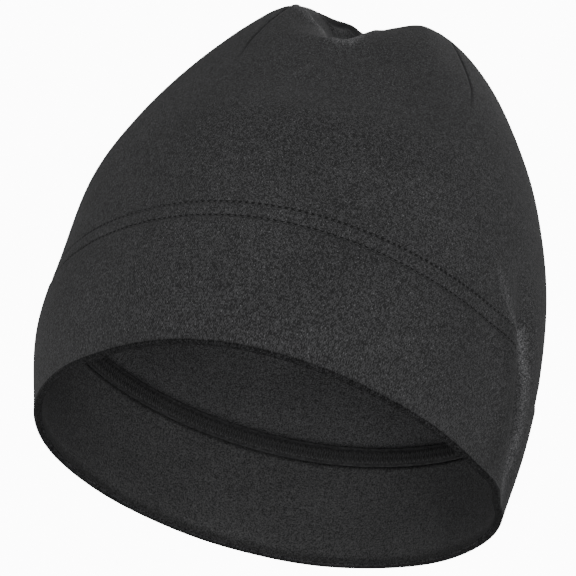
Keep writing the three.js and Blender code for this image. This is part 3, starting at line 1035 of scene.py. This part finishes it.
# %% Topstitching
TOP_RADIUS, TOP_SIDES = 0.15, 6
STITCH_DIP, STITCH_RISE = -0.55, 0.62
SEGMENTS = 10
stitch = np.arange(STITCHES * SEGMENTS) / SEGMENTS
thread_azimuth = np.interp(stitch, stitch_number(_round), _round)


def stitch_lift(number):
    """How high a thread lies over the cloth: the square root of a sine over each stitch, which is flat on top
    and dives steeply at both ends."""
    return STITCH_DIP + STITCH_RISE * np.abs(np.sin(np.pi * number)) ** 0.5


for label, row in (("lower", SEAM_HEIGHT), ("upper", UPPER_ROW)):
    path = seam_point(thread_azimuth, row + 0.0 * thread_azimuth, stitch_lift(stitch))
    piece = thread(f"topstitch_{label}_row", path, TOP_RADIUS, TOP_SIDES, TOP_THREAD)
    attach(piece, "root")

# %% Looper threads
LOOPER_RADIUS, LOOPER_SIDES, LOOPER_SHARPNESS = 0.16, 5, 0.97
LOOPER_MIDDLE = SEAM_HEIGHT + 0.9 + ROW_GAUGE / 2.0
TAPE_FACE = CROWN_WALL + TAPE_GAP + TAPE_WALL


def looper_path(phase, lift):
    """A zigzag over the tape: the height is a rounded triangle wave of the stitch number."""
    wave = LOOPER_SHARPNESS * np.sin(2.0 * np.pi * (stitch + phase))
    height = LOOPER_MIDDLE + ROW_GAUGE / 2.0 * np.arcsin(wave) / np.arcsin(LOOPER_SHARPNESS)
    points, _ = wall(height, thread_azimuth, TAPE_FACE + lift + 0.0 * height)
    return points


for label, phase, lift in (("first", 0.0, 0.12), ("second", 0.5, 0.3)):
    path = looper_path(phase, lift)
    piece = thread(f"looper_{label}_thread", path, LOOPER_RADIUS, LOOPER_SIDES, LOOPER_THREAD)
    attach(piece, "root")

# %% [markdown]
# ## Floor, light and camera
#
# The cap is held up as if it were on a head, well above a plain pale floor, and seen from below, so that the
# rim opens towards the camera. Soft light comes from all sides, as in a light tent whose walls are brighter
# where the camera sees them. A large soft box in front lights the cloth's face, one below sends light up into
# the hollow, and two weak ones behind draw a pale edge along the outline.

# %% Floor
FLOOR_HEIGHT, FLOOR_REACH = -1.3, 6.0
floor_mesh = bpy.data.meshes.new("floor")
floor_mesh.from_pydata([(FLOOR_REACH * x, FLOOR_REACH * y, FLOOR_HEIGHT)
                        for x, y in ((-1, -1), (1, -1), (1, 1), (-1, 1))], [], [(0, 1, 2, 3)])
floor = new_object("floor", floor_mesh)
pale = bpy.data.materials.new("pale floor")
pale.use_nodes = True
pale_shader = pale.node_tree.nodes["Principled BSDF"]
pale_shader.inputs["Base Color"].default_value = (0.82, 0.82, 0.82, 1.0)
pale_shader.inputs["Roughness"].default_value = 0.9
floor_mesh.materials.append(pale)
print(f"floor at {FLOOR_HEIGHT} m")

# %% Light
TENT_LIGHT, TENT_SEEN = 0.5, 12.0
world = bpy.data.worlds.new("light tent")
world.use_nodes = True
tent = world.node_tree
seen = tent.nodes.new("ShaderNodeLightPath").outputs["Is Camera Ray"]
strength = tent.nodes.new("ShaderNodeMapRange")
strength.inputs["To Min"].default_value, strength.inputs["To Max"].default_value = TENT_LIGHT, TENT_SEEN
tent.links.new(seen, strength.inputs["Value"])
tent.links.new(strength.outputs["Result"], tent.nodes["Background"].inputs["Strength"])
tent.nodes["Background"].inputs["Color"].default_value = (1.0, 1.0, 1.0, 1.0)
bpy.context.scene.world = world
TARGET = np.array([-0.0019, 0.0014, -0.1068])


def facing(back):
    """The sideways, upward and backward axes of a light or camera without roll, from the backward one."""
    side = unit(np.cross((0.0, 0.0, 1.0), back))
    return side, np.cross(back, side), back


def put(thing, axes, place):
    """Turns a light or camera to three axes and moves it to a place in metres."""
    turned = np.eye(4)
    turned[:3, :3], turned[:3, 3] = np.stack(axes, axis=-1), place
    thing.matrix_world = Matrix(turned.tolist())


def soft_box(name, place, size, power):
    """A square area light of a size in metres that faces the middle of the cap."""
    light = bpy.data.lights.new(name, "AREA")
    light.shape, light.size, light.energy = "SQUARE", size, power
    put(new_object(name, light), facing(unit(np.array(place) - TARGET)), place)


soft_box("front soft box", (0.55, -1.28, -0.5), size=0.9, power=13.6)
soft_box("low soft box", (-0.1, -0.14, -0.75), size=0.55, power=1.45)
soft_box("left edge light", (-0.9, 1.0, -0.1), size=0.5, power=1.9)
soft_box("top edge light", (0.1, 0.8, 0.9), size=0.5, power=2.0)

# %% Camera
VIEW_AZIMUTH, VIEW_ELEVATION, VIEW_ROLL = np.radians([14.29, -26.42, 13.51])
DISTANCE, FOCAL_PIXELS, IMAGE_SIZE, SENSOR = 0.784, 2094.5, 576, 36.0
SHIFT_PIXELS = (-16.56, -4.55)
level = np.array([np.sin(VIEW_AZIMUTH), -np.cos(VIEW_AZIMUTH), 0.0])
right, up, back = facing(level * np.cos(VIEW_ELEVATION) + (0.0, 0.0, np.sin(VIEW_ELEVATION)))
rolled_right = np.cos(VIEW_ROLL) * right + np.sin(VIEW_ROLL) * up
rolled_up = np.cos(VIEW_ROLL) * up - np.sin(VIEW_ROLL) * right
camera = new_object("camera", bpy.data.cameras.new("camera"))
put(camera, (rolled_right, rolled_up, back), TARGET + back * DISTANCE)
camera.data.sensor_width = SENSOR
camera.data.lens = FOCAL_PIXELS * SENSOR / IMAGE_SIZE
camera.data.shift_x, camera.data.shift_y = (shift / IMAGE_SIZE for shift in SHIFT_PIXELS)
camera.data.clip_start = 0.01
bpy.context.scene.camera = camera
print(f"lens {camera.data.lens:.1f} mm, {DISTANCE} m away")
